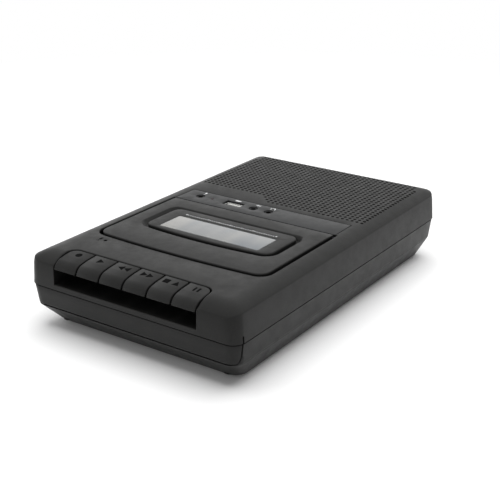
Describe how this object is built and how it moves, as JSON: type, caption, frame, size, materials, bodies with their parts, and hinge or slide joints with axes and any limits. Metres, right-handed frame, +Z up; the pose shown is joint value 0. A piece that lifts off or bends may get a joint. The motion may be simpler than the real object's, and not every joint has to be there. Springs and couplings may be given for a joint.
{
  "type": "portable cassette recorder",
  "caption": "Flat portable cassette recorder with piano keys, hinged cassette door, top sockets, speaker grille and a pull-out carry handle.",
  "frame": {"origin": "on the table under the middle of the case", "axes": "+X to the right, +Y to the back, +Z up"},
  "size_m": [0.16, 0.254, 0.0516],
  "materials": {
    "case_plastic": "fine moulded grain, satin",
    "strip_plastic": "smooth satin",
    "key_plastic": "satin",
    "smoked_lens": "smoked, clear window",
    "black_plastic": "satin",
    "plated_steel": "plated",
    "brass": "drawn",
    "rubber": "matte",
    "cast_metal": "machined",
    "pressed_frame": "satin",
    "cone_paper": "matte paper",
    "board_green": "gloss varnish",
    "light_red": "clear"
  },
  "bodies": {
    "case": {"top_shell": "case_plastic", "bottom_shell": "case_plastic", "control_strip": "strip_plastic", "rubber_feet": "rubber", "case_screws": "plated_steel", "door_springs": "plated_steel", "key_shaft": "plated_steel", "key_bracket": "plated_steel", "key_springs": "brass", "cassette_well": "black_plastic", "deck_plate": "plated_steel", "capstan_bush": "brass", "reel_pins": "plated_steel", "idler_pin": "plated_steel", "drive_motor": "plated_steel", "motor_bracket": "plated_steel", "drive_belt": "rubber", "deck_screws": "plated_steel", "speaker_frame": "pressed_frame", "speaker_cone": "cone_paper", "speaker_magnet": "cast_metal", "speaker_screws": "plated_steel", "circuit_board": "board_green", "board_screws": "plated_steel", "mic_jack": "black_plastic", "line_jack": "black_plastic", "phones_jack": "black_plastic", "usb_socket": "plated_steel", "power_light": "light_red", "mic_capsule": "plated_steel", "volume_control": "plated_steel", "power_socket": "black_plastic", "battery_springs": "plated_steel", "battery_plates": "plated_steel"},
    "handle": {"carry_handle": "case_plastic"},
    "battery_cover": {"battery_door": "case_plastic"},
    "door": {"cassette_door": "case_plastic", "door_lens": "smoked_lens", "cassette_guides": "plated_steel", "door_hinge_pins": "plated_steel"},
    "latch": {"door_latch": "black_plastic"},
    "record_key": {"key_record": "key_plastic"},
    "play_key": {"key_play": "key_plastic"},
    "rewind_key": {"key_rewind": "key_plastic"},
    "forward_key": {"key_forward": "key_plastic"},
    "stop_key": {"key_stop": "key_plastic"},
    "pause_key": {"key_pause": "key_plastic"},
    "bridge": {"head_bridge": "plated_steel", "play_head": "plated_steel", "erase_head": "plated_steel", "pinch_arm": "plated_steel"},
    "pinch": {"pinch_roller": "rubber"},
    "capstan_drive": {"capstan": "plated_steel", "flywheel": "cast_metal"},
    "supply_reel": {"supply_spindle": "black_plastic"},
    "take_up_reel": {"take_up_spindle": "black_plastic"},
    "idler": {"idler_wheel": "rubber"},
    "rotor": {"motor_pulley": "brass"},
    "volume": {"volume_wheel": "black_plastic"}
  },
  "joints": [
    {"name": "record_press", "type": "hinge", "parent": "case", "child": "record_key", "pos_m": [0, -0.096, 0.038], "axis": [1, 0, 0], "range_deg": [0, 9], "stiffness_Nm_per_rad": 0.6},
    {"name": "play_press", "type": "hinge", "parent": "case", "child": "play_key", "pos_m": [0, -0.096, 0.038], "axis": [1, 0, 0], "range_deg": [0, 9], "stiffness_Nm_per_rad": 0.6, "deforming": ["key_springs"]},
    {"name": "rewind_press", "type": "hinge", "parent": "case", "child": "rewind_key", "pos_m": [0, -0.096, 0.038], "axis": [1, 0, 0], "range_deg": [0, 9], "stiffness_Nm_per_rad": 0.6},
    {"name": "forward_press", "type": "hinge", "parent": "case", "child": "forward_key", "pos_m": [0, -0.096, 0.038], "axis": [1, 0, 0], "range_deg": [0, 9], "stiffness_Nm_per_rad": 0.6},
    {"name": "stop_press", "type": "hinge", "parent": "case", "child": "stop_key", "pos_m": [0, -0.096, 0.038], "axis": [1, 0, 0], "range_deg": [0, 9], "stiffness_Nm_per_rad": 0.6},
    {"name": "pause_press", "type": "hinge", "parent": "case", "child": "pause_key", "pos_m": [0, -0.096, 0.038], "axis": [1, 0, 0], "range_deg": [0, 9], "stiffness_Nm_per_rad": 0.6},
    {"name": "door_hinge", "type": "hinge", "parent": "case", "child": "door", "pos_m": [0, 0.0018, 0.0494], "axis": [-1, 0, 0], "range_deg": [0, 45]},
    {"name": "latch_slide", "type": "slide", "parent": "case", "child": "latch", "axis": [0, -1, 0], "range_m": [0, 0.003]},
    {"name": "handle_slide", "type": "slide", "parent": "case", "child": "handle", "axis": [0, -1, 0], "range_m": [0, 0.045]},
    {"name": "battery_door_hinge", "type": "hinge", "parent": "case", "child": "battery_cover", "pos_m": [0, 0.0484, 0.0026], "axis": [-1, 0, 0], "range_deg": [0, 45]},
    {"name": "volume_turn", "type": "hinge", "parent": "case", "child": "volume", "pos_m": [-0.0689, 0.01605, 0.0401], "axis": [0, 0, 1], "range_deg": [0, 270]},
    {"name": "flywheel_spin", "type": "hinge", "parent": "case", "child": "capstan_drive", "pos_m": [0.028, -0.068, 0.02], "axis": [0, 0, 1], "continuous": true},
    {"name": "motor_spin", "type": "hinge", "parent": "case", "child": "rotor", "pos_m": [-0.038, -0.062, 0.02], "axis": [0, 0, 1], "continuous": true},
    {"name": "idler_spin", "type": "hinge", "parent": "case", "child": "idler", "pos_m": [0.02542, -0.05691, 0.029], "axis": [0, 0, 1], "continuous": true},
    {"name": "take_up_spin", "type": "hinge", "parent": "case", "child": "take_up_reel", "pos_m": [0.02125, -0.039, 0.03], "axis": [0, 0, 1], "continuous": true},
    {"name": "supply_spin", "type": "hinge", "parent": "case", "child": "supply_reel", "pos_m": [-0.02125, -0.039, 0.03], "axis": [0, 0, 1], "continuous": true},
    {"name": "bridge_slide", "type": "slide", "parent": "case", "child": "bridge", "axis": [0, 1, 0], "range_m": [0, 0.006]},
    {"name": "pinch_spin", "type": "hinge", "parent": "bridge", "child": "pinch", "pos_m": [0.028, -0.0818, 0.038], "axis": [0, 0, 1], "continuous": true}
  ],
  "couplings": [
    {"joint": "latch_slide", "follows": "stop_press", "m_per_rad": 0.019},
    {"joint": "play_press", "follows": "bridge_slide", "rad_per_m": 26.18},
    {"joint": "motor_spin", "follows": "flywheel_spin", "ratio": 6},
    {"joint": "idler_spin", "follows": "flywheel_spin", "ratio": -0.82134},
    {"joint": "take_up_spin", "follows": "flywheel_spin", "ratio": 0.41667}
  ]
}
